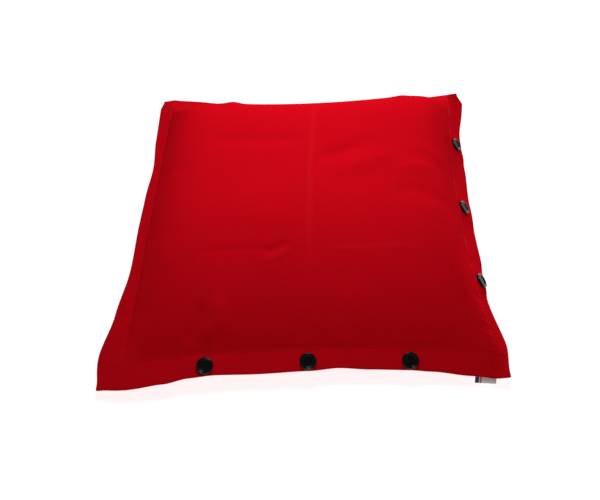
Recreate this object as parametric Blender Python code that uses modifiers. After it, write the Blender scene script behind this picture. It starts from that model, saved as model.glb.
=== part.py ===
"""Cushion-type fire blanket: two square fabric panels, sewn along the left side and closed
by press studs along the other three, over a soft pad.  Metres, +Z up, front towards -Y.
The origin is on the floor under the middle of the cover."""

import math

import bmesh
import bpy
from mathutils import Matrix, Vector

# ---------------------------------------------------------------- driving dimensions
CUT = 0.400                 # side of each panel as cut and hemmed, laid flat
HEM = 0.020                 # width of the hem, outer edge to stitch line
CLOTH = 0.0012              # thickness of a panel
GAP = 0.0003                # running gap between pieces that touch
STUD_GAP = 0.0049           # space between the two hems where the studs hold them
OPENING = 0.18              # share of half a side over which the hems part from the sewn side
STUD_INSET = 0.0087         # stud centre to the outer edge of the hem
STUD_STATIONS = (-0.5, 0.0, 0.5)   # quarter points of a side, as shares of half a side

# The four corners of the filled cover: x, y and the height of the hem's edge.
FRONT_LEFT = Vector((-0.189, -0.193, 0.0075))
FRONT_RIGHT = Vector((0.182, -0.1805, 0.0075))
BACK_LEFT = Vector((-0.185, 0.193, 0.018))
BACK_RIGHT = Vector((0.189, 0.193, 0.028))

# How far filling draws the middle of each side in, and its height there.
PULL_FRONT, PULL_RIGHT, PULL_BACK, PULL_LEFT = 0.007, 0.018, 0.004, 0.006
MID_FRONT, MID_RIGHT, MID_BACK = 0.0105, 0.015, 0.006
# How steeply each hem slopes down to its outer edge at mid side, in degrees.
TILT_FRONT, TILT_RIGHT, TILT_BACK, TILT_LEFT = 10.0, 45.0, 12.0, 12.0
TILT_POWER = 8              # how far towards the corners that slope is kept

FOLD_X = -0.1665            # the stitched fold line that the cover opens about
CROWN = 0.0495              # rise of the crown above the seam
CROWN_SLOPE = -0.001        # change of that rise towards the back
SIDE_POWER = 9.0            # fullness of the crown across, left to right
FRONT_POWER = 2.7           # a long easy slope at the front
BACK_POWER = 6.0            # a steep one at the back
UNDER_POWER = 6.0           # fullness of the flat underside

PANEL_STEPS = 20            # grid steps between the stitch lines
PAD_STEPS = 16
PAD_MARGIN = 0.0025         # clear space between the cover and the pad's case
CASE = 0.0005               # thickness of the pad's case

SEAM = 1 - HEM / (CUT / 2)  # the stitch line, as a share of half a side

# Press stud, along its own axis from the middle of the space between the hems.
HEM_FACE = STUD_GAP / 2
HEM_BACK = HEM_FACE + CLOTH
SEAT = 0.0006               # room between a hem's outer face and the cap or post on it
HOLE_R = 0.0015
SHANK_R = 0.0011
CAP_R = 0.0075
CAP_H = 0.0026
SOCKET_R = 0.0061
MOUTH_R = 0.0041
CHAMBER_R = 0.0048
BALL_R = 0.0022
NECK_R = 0.00175
STUD_R = 0.0054
POST_R = 0.0056
TURN_STEPS = 12
CAP_STEPS = 16

RED = (0.62, 0.004, 0.018, 1)
BLACK = (0.012, 0.012, 0.014, 1)
METAL = (0.62, 0.62, 0.60, 1)
WHITE = (0.80, 0.79, 0.76, 1)


# ---------------------------------------------------------------- scene and helpers
for item in list(bpy.data.objects):
    bpy.data.objects.remove(item, do_unlink=True)


def collection(name):
    made = bpy.data.collections.new(name)
    bpy.context.scene.collection.children.link(made)
    return made


PARTS = collection("fire_blanket")
CUTTERS = collection("cutters")


def material(name, colour, roughness, metallic=0.0):
    made = bpy.data.materials.new(name)
    made.use_nodes = True
    shader = made.node_tree.nodes["Principled BSDF"]
    shader.inputs["Base Color"].default_value = colour
    shader.inputs["Roughness"].default_value = roughness
    shader.inputs["Metallic"].default_value = metallic
    return made


def add_object(name, data, mat, home=PARTS):
    made = bpy.data.objects.new(name, data)
    if mat is not None:
        data.materials.append(mat)
    home.objects.link(made)
    return made


def lerp(a, b, share):
    return a + (b - a) * share


def bow(w, power=2.2):
    """1 in the middle of a side and 0 at its ends."""
    return 1 - abs(w) ** power


def clamp(value):
    return min(1.0, max(0.0, value))


def smooth(value):
    value = clamp(value)
    return value * value * (3 - 2 * value)


# ---------------------------------------------------------------- the cover's surface
# u runs left to right and v front to back, both from -1 to 1 over a panel laid flat.

def hem_width(tilt, along):
    """Width in plan of a hem that slopes by up to tilt degrees."""
    return HEM * math.cos(math.radians(tilt) * bow(along, TILT_POWER))


def hem_rise(tilt, along):
    return HEM * math.sin(math.radians(tilt) * bow(along, TILT_POWER))


def across(w, low, high, low_width, high_width):
    """Place w between two edges, with each hem at its own width."""
    if w < -SEAM:
        return low + low_width * (1 + w) / (1 - SEAM)
    if w > SEAM:
        return high - high_width * (1 - w) / (1 - SEAM)
    return lerp(low + low_width, high - high_width, (w + SEAM) / (2 * SEAM))


def rim_height(u, v):
    """Height of the middle of the two layers, without the crown."""
    s = (u + 1) / 2
    t = (v + 1) / 2
    front = lerp(FRONT_LEFT.z, FRONT_RIGHT.z, s)
    back = lerp(BACK_LEFT.z, BACK_RIGHT.z, s)
    right_mid = (FRONT_RIGHT.z + BACK_RIGHT.z) / 2
    height = lerp(front, back, t)
    height += (1 - t) * (MID_FRONT - (FRONT_LEFT.z + FRONT_RIGHT.z) / 2) * (1 - u * u)
    height += t * (MID_BACK - (BACK_LEFT.z + BACK_RIGHT.z) / 2) * (1 - u * u)
    height += s * (MID_RIGHT - right_mid) * (1 - v * v)
    height += (1 - t) * hem_rise(TILT_FRONT, u) * clamp((1 + v) / (1 - SEAM))
    height += t * hem_rise(TILT_BACK, u) * clamp((1 - v) / (1 - SEAM))
    height += s * hem_rise(TILT_RIGHT, v) * clamp((1 - u) / (1 - SEAM))
    height += (1 - s) * HEM * math.sin(math.radians(TILT_LEFT)) * clamp((1 + u) / (1 - SEAM))
    return height


def mid_surface(u, v):
    s = (u + 1) / 2
    t = (v + 1) / 2
    left = lerp(FRONT_LEFT.x, BACK_LEFT.x, t) + PULL_LEFT * bow(v)
    right = lerp(FRONT_RIGHT.x, BACK_RIGHT.x, t) - PULL_RIGHT * bow(v)
    front = lerp(FRONT_LEFT.y, FRONT_RIGHT.y, s) + PULL_FRONT * bow(u)
    back = lerp(BACK_LEFT.y, BACK_RIGHT.y, s) - PULL_BACK * bow(u)
    x = across(u, left, right, FOLD_X - left, hem_width(TILT_RIGHT, v))
    y = across(v, front, back, hem_width(TILT_FRONT, u), hem_width(TILT_BACK, u))
    return Vector((x, y, rim_height(u, v)))


def rim(u, v):
    """The middle surface, with each hem straight from its stitch line to its edge."""
    for w, place in ((u, lambda w: rim(w, v)), (v, lambda w: rim(u, w))):
        if SEAM < abs(w) < 1:
            share = (abs(w) - SEAM) / (1 - SEAM)
            return place(math.copysign(SEAM, w)).lerp(place(math.copysign(1, w)), share)
    return mid_surface(u, v)


def normal_of(surface, u, v, step=0.002):
    du = surface(u + step, v) - surface(u - step, v)
    dv = surface(u, v + step) - surface(u, v - step)
    return du.cross(dv).normalized()


def into_band(w):
    """Moves a share on a border of the hem just inside the hem."""
    inset = 0.004
    if abs(w) < SEAM - inset:
        return w
    return math.copysign(min(1 - inset, max(SEAM + inset, abs(w))), w)


def rim_normal(u, v):
    """Normal of the hem; a point on the stitch line takes the hem's side of the fold."""
    return normal_of(rim, into_band(u), into_band(v))


def half_gap(u):
    """Half the space between the layers: closed at the sewn side, open at the studs."""
    return lerp(GAP, STUD_GAP, smooth((u + SEAM) / OPENING)) / 2


def crown(u, v):
    across_share = 1 - clamp(abs(u) / SEAM) ** SIDE_POWER
    power = FRONT_POWER if v < 0 else BACK_POWER
    along_share = 1 - clamp(abs(v) / SEAM) ** power
    return (CROWN + CROWN_SLOPE * v) * across_share * along_share


def under(u, v):
    """0 at the stitch line, 1 where the underside lies on the floor."""
    across_share = 1 - clamp(abs(u) / SEAM) ** UNDER_POWER
    along_share = 1 - clamp(abs(v) / SEAM) ** UNDER_POWER
    return clamp(1.6 * across_share * along_share)


def top_face(u, v):
    """The outer face of the top panel."""
    lift = half_gap(u) + CLOTH
    return rim(u, v) + rim_normal(u, v) * lift + Vector((0, 0, crown(u, v)))


def bottom_face(u, v):
    """The outer face of the bottom panel, flat where it lies on the floor."""
    point = rim(u, v) - rim_normal(u, v) * (half_gap(u) + CLOTH)
    point.z = lerp(point.z, 0.0, under(u, v))
    return point


# ---------------------------------------------------------------- fabric sheets
def graded(index, steps, limit):
    """Grid lines from -limit to limit, closer together towards the sides."""
    even = 2 * index / steps - 1
    return limit * (0.5 * even + 0.5 * math.sin(even * math.pi / 2))


def grid_lines(steps, low_hem, high_hem):
    lines = [graded(i, steps, SEAM) for i in range(steps + 1)]
    if low_hem:
        lines.insert(0, -1.0)
    if high_hem:
        lines.append(1.0)
    return lines


def grid_mesh(name, u_lines, v_lines, place, flip=False):
    """A grid primitive whose points are moved onto a surface."""
    bm = bmesh.new()
    columns = len(u_lines) - 1
    rows = len(v_lines) - 1
    bmesh.ops.create_grid(bm, x_segments=columns, y_segments=rows, size=1)
    for vert in bm.verts:
        column = round((vert.co.x + 1) / 2 * columns)
        row = round((vert.co.y + 1) / 2 * rows)
        vert.co = place(u_lines[column], v_lines[row])
    if flip:
        bmesh.ops.reverse_faces(bm, faces=bm.faces)
    mesh = bpy.data.meshes.new(name)
    bm.to_mesh(mesh)
    bm.free()
    return mesh


def thicken(item, thickness):
    """Adds the cloth's thickness on the inner side of a sheet."""
    wall = item.modifiers.new("cloth", "SOLIDIFY")
    wall.thickness = thickness
    wall.offset = -1
    wall.use_even_offset = True


def stud_frame(u, v):
    """Where a press stud stands: its axis is square to the hem."""
    axis = rim_normal(u, v)
    turn = axis.to_track_quat("Z", "Y").to_matrix().to_4x4()
    return Matrix.Translation(rim(u, v)) @ turn


def stud_places():
    line = 1 - STUD_INSET / (CUT / 2)
    for number, station in enumerate(STUD_STATIONS, 1):
        yield f"front_{number}", stud_frame(station, -line)
    for number, station in enumerate(STUD_STATIONS, 1):
        yield f"right_{number}", stud_frame(line, station)
    for number, station in enumerate(STUD_STATIONS, 1):
        yield f"back_{number}", stud_frame(station, line)


STUDS = dict(stud_places())


def hole_cutter(name, low, high):
    """Pins that cut a hole through one layer at every stud."""
    bm = bmesh.new()
    for frame in STUDS.values():
        middle = frame @ Matrix.Translation((0, 0, (low + high) / 2))
        bmesh.ops.create_cone(bm, cap_ends=True, segments=10, radius1=HOLE_R,
                              radius2=HOLE_R, depth=high - low, matrix=middle)
    mesh = bpy.data.meshes.new(name)
    bm.to_mesh(mesh)
    bm.free()
    cutter = add_object(name, mesh, None, CUTTERS)
    cutter.hide_render = True
    cutter.display_type = "WIRE"
    return cutter


def pierce(item, cutter):
    cut = item.modifiers.new("stud_holes", "BOOLEAN")
    cut.operation = "DIFFERENCE"
    cut.object = cutter


fabric = material("red_fabric", RED, 0.62)
full = grid_lines(PANEL_STEPS, True, True)
open_left = grid_lines(PANEL_STEPS, False, True)


def place_top(u, v):
    point = top_face(u, v)
    if u <= -SEAM:
        point.x = FOLD_X + GAP / 2
    return point


def place_left_hem(u, v):
    point = top_face(min(u, -SEAM), v)
    if u >= -SEAM:
        point.x = FOLD_X - GAP / 2
    return point


top_panel = add_object("top_panel", grid_mesh("top_panel", open_left, full, place_top), fabric)
thicken(top_panel, CLOTH)
pierce(top_panel, hole_cutter("top_holes", HEM_FACE - CLOTH, HEM_BACK + CLOTH))

bottom_mesh = grid_mesh("bottom_panel", full, full, bottom_face, flip=True)
bottom_panel = add_object("bottom_panel", bottom_mesh, fabric)
thicken(bottom_panel, CLOTH)
pierce(bottom_panel, hole_cutter("bottom_holes", -HEM_BACK - CLOTH, -HEM_FACE + CLOTH))

left_mesh = grid_mesh("left_hem", [-1.0, -SEAM], full, place_left_hem)
left_hem = add_object("left_hem", left_mesh, fabric)
thicken(left_hem, CLOTH)


# ---------------------------------------------------------------- side label
LABEL_U = 0.87              # middle of the label along the front hem
LABEL_WIDTH = 0.019
LABEL_OUT = 0.008           # how far it hangs out past the hem
LABEL_IN = 0.005            # how much of it is sewn in
LABEL_THICK = 0.0008


def side_label():
    edge = rim(LABEL_U, -1)
    lift = -half_gap(LABEL_U) + GAP + LABEL_THICK / 2
    bm = bmesh.new()
    size = Vector((LABEL_WIDTH, LABEL_OUT + LABEL_IN, LABEL_THICK))
    shape = Matrix.Diagonal(size.to_4d())
    bmesh.ops.create_cube(bm, size=1, matrix=shape)
    mesh = bpy.data.meshes.new("side_label")
    bm.to_mesh(mesh)
    bm.free()
    label = add_object("side_label", mesh, material("label_tape", WHITE, 0.8))
    axis = rim_normal(LABEL_U, -1)
    right = (rim(LABEL_U + 0.02, -1) - rim(LABEL_U - 0.02, -1)).normalized()
    forward = axis.cross(right)
    turn = Matrix((right, forward, axis)).transposed().to_4x4()
    middle = edge + axis * lift - forward * (LABEL_OUT - LABEL_IN) / 2
    label.matrix_world = Matrix.Translation(middle) @ turn


side_label()


# ---------------------------------------------------------------- pad
PAD_EDGE = 0.955            # the pad's own seam, as a share of the way to the stitch line
FILLING_EDGE = 0.97         # the filling's border, as a share of the way to the pad's seam


def pad_point(u, v, depth, side):
    """A point depth inside the cover; both sides meet at the pad's seam."""
    surface = top_face if side > 0 else bottom_face
    limit = PAD_EDGE * SEAM
    inward = normal_of(surface, u, v) * (-side)
    point = surface(u, v) + inward * (CLOTH + PAD_MARGIN + depth)
    height = (top_face(u, v).z + bottom_face(u, v).z) / 2
    border = clamp(max(abs(u), abs(v)) / limit)
    join = smooth((border - 0.93) / 0.07)
    point.z = lerp(point.z, height + side * 0.0008, join)
    return point


def pad_lines(share):
    return [graded(i, PAD_STEPS, share * SEAM) for i in range(PAD_STEPS + 1)]


cotton = material("pad_cotton", WHITE, 0.85)
wadding = material("pad_wadding", WHITE, 0.95)
for name, side in (("pad_case_top", 1), ("pad_case_bottom", -1)):
    def place(u, v, side=side):
        return pad_point(u, v, 0, side)
    lines = pad_lines(PAD_EDGE)
    case = add_object(name, grid_mesh(name, lines, lines, place, flip=side < 0), cotton)
    thicken(case, CASE)


def filling():
    """Two crowned grids joined along their border, which stays just inside the case's seam."""
    limit = PAD_EDGE * SEAM
    lines = pad_lines(PAD_EDGE)
    bm = bmesh.new()
    for side in (1, -1):
        def place(u, v, side=side):
            if max(abs(u), abs(v)) < limit - 1e-6:
                return pad_point(u, v, CASE + 2 * GAP, side)
            u, v = u * FILLING_EDGE, v * FILLING_EDGE
            return (pad_point(u, v, CASE, -1) + pad_point(u, v, CASE, 1)) / 2
        mesh = grid_mesh("half", lines, lines, place, flip=side < 0)
        bm.from_mesh(mesh)
        bpy.data.meshes.remove(mesh)
    bmesh.ops.remove_doubles(bm, verts=bm.verts, dist=1e-5)
    mesh = bpy.data.meshes.new("pad_filling")
    bm.to_mesh(mesh)
    bm.free()
    add_object("pad_filling", mesh, wadding)


filling()


# ---------------------------------------------------------------- press studs
def turned_mesh(name, profile, steps, mat):
    """A profile of (radius, height) points, outer side top to bottom, turned about Z."""
    bm = bmesh.new()
    points = [bm.verts.new((r, 0, h)) for r, h in profile]
    closed = profile[0][0] > 0
    pairs = list(zip(points, points[1:]))
    if closed:
        pairs.append((points[-1], points[0]))
    for a, b in pairs:
        bm.edges.new((a, b))
    outline = bpy.data.meshes.new(name + "_outline")
    bm.to_mesh(outline)
    bm.free()
    blank = bpy.data.objects.new(name + "_blank", outline)
    PARTS.objects.link(blank)
    screw = blank.modifiers.new("turn", "SCREW")
    screw.steps = steps
    screw.render_steps = steps
    screw.use_merge_vertices = True
    screw.merge_threshold = 0.00002
    bpy.context.view_layer.update()
    evaluated = blank.evaluated_get(bpy.context.evaluated_depsgraph_get())
    mesh = bpy.data.meshes.new_from_object(evaluated)
    mesh.name = name
    bpy.data.objects.remove(blank, do_unlink=True)
    bpy.data.meshes.remove(outline)
    mesh.materials.clear()
    mesh.materials.append(mat)
    mesh.shade_smooth()
    mesh.set_sharp_from_angle(angle=math.radians(35))
    return mesh


gloss = material("black_gloss", BLACK, 0.12)
metal = material("plated_metal", METAL, 0.3, 1.0)

CAP_LOW = HEM_BACK + SEAT
SOCKET_HIGH = HEM_FACE - GAP
SOCKET_LOW = -0.00115
CEILING = 0.0013
LIP = 0.0003
cap_profile = [
    (0, CAP_LOW + 0.68 * CAP_H),
    (0.60 * CAP_R, CAP_LOW + 0.68 * CAP_H),
    (0.68 * CAP_R, CAP_LOW + 0.96 * CAP_H),
    (0.84 * CAP_R, CAP_LOW + CAP_H),
    (0.96 * CAP_R, CAP_LOW + 0.74 * CAP_H),
    (CAP_R, CAP_LOW + 0.40 * CAP_H),
    (0.95 * CAP_R, CAP_LOW),
    (SHANK_R, CAP_LOW),
    (SHANK_R, CEILING + 0.00015),
    (0, CEILING + 0.00015),
]
socket_profile = [
    (HOLE_R, SOCKET_HIGH),
    (0.92 * SOCKET_R, SOCKET_HIGH),
    (SOCKET_R, SOCKET_HIGH - 0.0006),
    (SOCKET_R, SOCKET_LOW + 0.0006),
    (0.93 * SOCKET_R, SOCKET_LOW),
    (MOUTH_R, SOCKET_LOW),
    (MOUTH_R, SOCKET_LOW + LIP),
    (CHAMBER_R, SOCKET_LOW + LIP),
    (CHAMBER_R, CEILING),
    (HOLE_R, CEILING),
]
STUD_LOW = -HEM_FACE + GAP
STUD_BASE = STUD_LOW + 0.0007
BALL_TOP = 0.0010
BORE_R = SHANK_R + GAP
stud_profile = [
    (0, BALL_TOP),
    (0.0014, BALL_TOP),
    (BALL_R, 0.00045),
    (NECK_R, 0),
    (NECK_R, STUD_BASE),
    (STUD_R, STUD_BASE),
    (STUD_R, STUD_LOW),
    (BORE_R, STUD_LOW),
    (BORE_R, -0.0001),
    (0, -0.0001),
]
POST_HIGH = -HEM_BACK - SEAT
post_profile = [
    (0, -0.0004),
    (SHANK_R, -0.0004),
    (SHANK_R, POST_HIGH),
    (POST_R, POST_HIGH),
    (POST_R, POST_HIGH - 0.0005),
    (0.88 * POST_R, POST_HIGH - 0.0010),
    (0, POST_HIGH - 0.0010),
]

WIRE_R = 0.00025
LEG_X = 0.0023
LEG_END = -0.0033
BEND_Y = 0.0016
SPRING_Z = -0.00025


def spring_mesh():
    """A hairpin of round wire: two legs grip the stud's neck, and a bend joins them."""
    line = bpy.data.curves.new("socket_spring", "CURVE")
    line.dimensions = "3D"
    line.bevel_depth = WIRE_R
    line.bevel_resolution = 1
    line.use_fill_caps = True
    path = [(-LEG_X, LEG_END), (-LEG_X, BEND_Y)]
    for step in range(1, 6):
        angle = math.pi * (1 - step / 6)
        path.append((LEG_X * math.cos(angle), BEND_Y + LEG_X * math.sin(angle)))
    path += [(LEG_X, BEND_Y), (LEG_X, LEG_END)]
    spline = line.splines.new("POLY")
    spline.points.add(len(path) - 1)
    for point, (x, y) in zip(spline.points, path):
        point.co = (x, y, SPRING_Z, 1)
    guide = bpy.data.objects.new("spring_guide", line)
    PARTS.objects.link(guide)
    bpy.context.view_layer.update()
    evaluated = guide.evaluated_get(bpy.context.evaluated_depsgraph_get())
    mesh = bpy.data.meshes.new_from_object(evaluated)
    bpy.data.objects.remove(guide, do_unlink=True)
    bm = bmesh.new()
    bm.from_mesh(mesh)
    bmesh.ops.remove_doubles(bm, verts=bm.verts, dist=1e-6)
    bm.to_mesh(mesh)
    bm.free()
    mesh.name = "socket_spring"
    mesh.materials.clear()
    mesh.materials.append(metal)
    mesh.shade_smooth()
    return mesh


pieces = {
    "cap": turned_mesh("cap", cap_profile, CAP_STEPS, gloss),
    "socket": turned_mesh("socket", socket_profile, TURN_STEPS, metal),
    "spring": spring_mesh(),
    "stud": turned_mesh("stud", stud_profile, TURN_STEPS, metal),
    "post": turned_mesh("post", post_profile, TURN_STEPS, metal),
}
for place_name, frame in STUDS.items():
    for piece, mesh in pieces.items():
        copy = add_object(f"{place_name}_{piece}", mesh, None)
        copy.matrix_world = frame
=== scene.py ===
# %% [markdown]
# # A cushion-type fire blanket
# The object is a square cover of red coated glass fabric round a soft pad.  It is sewn shut along
# its left side, and press studs close the other three.  The frame that is loaded here holds the
# measured parts and the hinge; each later cell adds one visible piece on top of it.

import math

import bmesh
import bpy
import numpy as np
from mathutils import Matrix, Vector
from mathutils.bvhtree import BVHTree


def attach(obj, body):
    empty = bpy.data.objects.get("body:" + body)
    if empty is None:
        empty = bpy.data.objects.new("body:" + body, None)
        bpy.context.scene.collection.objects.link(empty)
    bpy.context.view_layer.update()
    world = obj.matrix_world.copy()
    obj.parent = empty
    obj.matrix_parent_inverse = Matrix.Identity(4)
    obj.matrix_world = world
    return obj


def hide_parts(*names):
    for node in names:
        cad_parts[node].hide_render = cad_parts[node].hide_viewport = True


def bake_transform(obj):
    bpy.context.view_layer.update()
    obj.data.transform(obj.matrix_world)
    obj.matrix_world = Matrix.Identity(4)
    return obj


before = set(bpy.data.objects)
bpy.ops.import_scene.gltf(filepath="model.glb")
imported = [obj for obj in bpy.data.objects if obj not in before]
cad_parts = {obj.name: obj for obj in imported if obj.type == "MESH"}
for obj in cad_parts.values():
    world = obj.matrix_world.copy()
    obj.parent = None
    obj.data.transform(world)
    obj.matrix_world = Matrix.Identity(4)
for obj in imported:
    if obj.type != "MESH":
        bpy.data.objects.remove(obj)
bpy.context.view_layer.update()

# %% [markdown]
# The pieces are drawn at the size of the real cover, in metres.  Two square panels of 400 mm are
# hemmed all round, 20 mm wide.  The numbers below are the same driving dimensions as in the frame,
# so that every stitch and stud lands where the frame has it.

# %% Sizes of the cover
CUT = 0.400
HEM = 0.020
SEAM = 1 - HEM / (CUT / 2)          # the stitch line, as a share of half a side
STUD_INSET = 0.0087
STUD_LINE = 1 - STUD_INSET / (CUT / 2)
STATIONS = (-0.5, 0.0, 0.5)
FOLD_X = -0.1665                    # the cover opens about this stitched line
FRONT_LEFT = np.array((-0.189, -0.193, 0.0075))
FRONT_RIGHT = np.array((0.182, -0.1805, 0.0075))
BACK_LEFT = np.array((-0.185, 0.193, 0.018))
BACK_RIGHT = np.array((0.189, 0.193, 0.028))
# How far each side is drawn in at its middle, how high it is there, and its hem's slope in degrees.
PULL = {"front": 0.007, "right": 0.018, "back": 0.004, "left": 0.006}
MIDDLE = {"front": 0.0105, "right": 0.015, "back": 0.006}
TILT = {"front": 10.0, "right": 45.0, "back": 12.0, "left": 12.0}
CROWN = 0.0495
CROWN_SLOPE = -0.001

FLOOR_GAP = 0.0005
print("flat panel", CUT, "m, hem", HEM, "m, finished width", round(FRONT_RIGHT[0] - FRONT_LEFT[0], 3), "m")

# %% [markdown]
# The camera stands in front of the cover and looks down on it by 52 degrees.  A small soft panel
# hangs close over the back half, so that the light falls off towards the hems, and a second one
# low behind skims the crest.  A close lamp shows the form of cloth better than a wide sky would.
# The floor glows, as a lit studio sweep does, and the "Standard" view keeps the red pure.

# %% Camera, light and floor
scene = bpy.context.scene
scene.view_settings.view_transform = "Standard"
scene.view_settings.look = "None"

camera = bpy.data.objects.new("camera", bpy.data.cameras.new("camera"))
camera.location = (-0.0095, -0.4214, 0.4986)
camera.rotation_euler = (math.radians(38.0), 0, 0)
camera.data.lens = 35.9
camera.data.sensor_width = 36
scene.collection.objects.link(camera)
scene.camera = camera


def soft_panel(name, place, aim, size, watts):
    """A square area light that faces the point aim."""
    lamp = bpy.data.lights.new(name, "AREA")
    lamp.shape = "SQUARE"
    lamp.size = size
    lamp.energy = watts
    panel = bpy.data.objects.new(name, lamp)
    panel.location = place
    panel.rotation_euler = (Vector(aim) - Vector(place)).to_track_quat("-Z", "Y").to_euler()
    scene.collection.objects.link(panel)


soft_panel("top_light", (-0.01, 0.14, 0.54), (0, 0.04, 0.04), 0.22, 2.0)
soft_panel("back_light", (0.50, 1.40, 0.22), (0, 0, 0.04), 0.4, 13.0)

world = bpy.data.worlds.new("pale_room")
world.use_nodes = True
background = world.node_tree.nodes["Background"]
background.inputs["Color"].default_value = (1.0, 1.0, 1.0, 1)
background.inputs["Strength"].default_value = 0.17
scene.world = world


def feed(tree, target, values):
    """Gives a node's inputs their numbers, colours or links from other nodes."""
    for name, value in values.items():
        if hasattr(value, "is_output"):
            tree.links.new(value, target.inputs[name])
        elif isinstance(value, tuple):
            target.inputs[name].default_value = (*value, 1)
        else:
            target.inputs[name].default_value = value


def set_shader(material, values):
    feed(material.node_tree, material.node_tree.nodes["Principled BSDF"], values)


def plain_material(name, values):
    made = bpy.data.materials.new(name)
    made.use_nodes = True
    set_shader(made, values)
    return made


floor_mesh = bpy.data.meshes.new("floor")
floor_mesh.from_pydata([(-6, -6, 0), (6, -6, 0), (6, 6, 0), (-6, 6, 0)], [], [(0, 1, 2, 3)])
pale_floor = plain_material("pale_floor", {
    "Base Color": (0.4, 0.4, 0.4), "Roughness": 0.9, "Specular IOR Level": 0.0,
    "Emission Color": (1.0, 1.0, 1.0), "Emission Strength": 0.86})
floor_mesh.materials.append(pale_floor)
floor = bpy.data.objects.new("floor", floor_mesh)
floor.location.z = -FLOOR_GAP
scene.collection.objects.link(floor)
print("camera", tuple(camera.location), "lens", camera.data.lens)

# %% [markdown]
# The filled cover is a surface over the flat panel.  A point of the panel is named by two shares,
# u from left to right and v from front to back, both from -1 to 1.  It could be sculpted by hand,
# but a rule keeps the hems straight, the sides pulled in and the corners where the frame has them.
# `rim` is the middle of the two hems, and the crown rises over it inside the stitch line.

# %% The rule of the cover's form


def lerp(a, b, share):
    return a + (b - a) * share


def bow(w, power=2.2):
    """1 in the middle of a side and 0 at its ends."""
    return 1 - np.abs(w) ** power


def smooth(value):
    value = np.clip(value, 0, 1)
    return value * value * (3 - 2 * value)


def hem_slope(side, along):
    return np.radians(TILT[side]) * bow(along, 8)


def across(w, low, high, low_width, high_width):
    """Place w between two edges, with each hem at its own width."""
    inner = lerp(low + low_width, high - high_width, (w + SEAM) / (2 * SEAM))
    inner = np.where(w < -SEAM, low + low_width * (1 + w) / (1 - SEAM), inner)
    return np.where(w > SEAM, high - high_width * (1 - w) / (1 - SEAM), inner)


def middle_surface(u, v):
    s = (u + 1) / 2
    t = (v + 1) / 2
    left = lerp(FRONT_LEFT[0], BACK_LEFT[0], t) + PULL["left"] * bow(v)
    right = lerp(FRONT_RIGHT[0], BACK_RIGHT[0], t) - PULL["right"] * bow(v)
    front = lerp(FRONT_LEFT[1], FRONT_RIGHT[1], s) + PULL["front"] * bow(u)
    back = lerp(BACK_LEFT[1], BACK_RIGHT[1], s) - PULL["back"] * bow(u)
    x = across(u, left, right, FOLD_X - left, HEM * np.cos(hem_slope("right", v)))
    y = across(v, front, back, HEM * np.cos(hem_slope("front", u)), HEM * np.cos(hem_slope("back", u)))

    z = lerp(lerp(FRONT_LEFT[2], FRONT_RIGHT[2], s), lerp(BACK_LEFT[2], BACK_RIGHT[2], s), t)
    for side, near, along, depth, start, end in (("front", 1 - t, u, 1 + v, FRONT_LEFT, FRONT_RIGHT),
                                                 ("back", t, u, 1 - v, BACK_LEFT, BACK_RIGHT),
                                                 ("right", s, v, 1 - u, FRONT_RIGHT, BACK_RIGHT)):
        z = z + near * (MIDDLE[side] - (start[2] + end[2]) / 2) * (1 - along * along)
        z = z + near * HEM * np.sin(hem_slope(side, along)) * np.clip(depth / (1 - SEAM), 0, 1)
    z = z + (1 - s) * HEM * math.sin(math.radians(TILT["left"])) * np.clip((1 + u) / (1 - SEAM), 0, 1)
    return np.stack(np.broadcast_arrays(x, y, z), axis=-1)


def band_ends(w):
    """The two ends of the hem that w lies in, and the share of the way between them."""
    inside = np.abs(w) > SEAM
    share = np.where(inside, (np.abs(w) - SEAM) / (1 - SEAM), 0)
    return np.where(inside, np.sign(w) * SEAM, w), np.where(inside, np.sign(w), w), share


def rim(u, v):
    """The middle surface, with each hem straight from its stitch line to its edge."""
    u, v = np.broadcast_arrays(np.asarray(u, float), np.asarray(v, float))
    u0, u1, su = band_ends(u)
    v0, v1, sv = band_ends(v)
    su, sv = su[..., None], sv[..., None]
    near = lerp(middle_surface(u0, v0), middle_surface(u1, v0), su)
    far = lerp(middle_surface(u0, v1), middle_surface(u1, v1), su)
    return lerp(near, far, sv)


def unit(vectors):
    return vectors / np.linalg.norm(vectors, axis=-1, keepdims=True)


def normal_of(surface, u, v, step=0.002):
    du = surface(u + step, v) - surface(u - step, v)
    dv = surface(u, v + step) - surface(u, v - step)
    return unit(np.cross(du, dv))


OFF_SEAM = 0.004                    # slopes are read this far off the stitch line


def in_hem(w):
    return np.sign(w) * np.clip(np.abs(w), SEAM + OFF_SEAM, 1 - OFF_SEAM)


def in_body(w):
    return np.clip(w, -SEAM + OFF_SEAM, SEAM - OFF_SEAM)


def hem_share(w, reach=0.05):
    """1 in the hem, falling to 0 a little way inside the stitch line."""
    return 1 - smooth((SEAM - np.abs(w)) / reach)


def rim_normal(u, v):
    """Square to the hem in the hem, and turning slowly to the body's own normal inside it."""
    hem_u, hem_v = hem_share(u)[..., None], hem_share(v)[..., None]
    body = lerp(normal_of(rim, in_body(u), in_body(v)), normal_of(rim, in_hem(u), in_body(v)), hem_u)
    side = lerp(normal_of(rim, in_body(u), in_hem(v)), normal_of(rim, in_hem(u), in_hem(v)), hem_u)
    return unit(lerp(body, side, hem_v))


def inside_share(w, power):
    """1 in the middle of the body, 0 from the stitch line outwards."""
    return 1 - np.clip(np.abs(w) / SEAM, 0, 1) ** power


def crown(u, v):
    """Full across the cover, rising slowly from the front and steeply at the back."""
    along_power = np.where(v < 0, 2.7, 6.0)
    return (CROWN + CROWN_SLOPE * v) * inside_share(u, 9.0) * inside_share(v, along_power)


print("height of the crown's middle", round(float(rim(0.0, 0.0)[2] + crown(0.0, 0.0)), 4), "m")

# %% [markdown]
# At each stud the two hems stand apart by the height of the fastener.  Between the studs they come
# together again, so each hem rises and falls along the side: the upper one a little, and the lower
# one more, because it is the looser of the two.  Along the sewn left side both lie flat.

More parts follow.
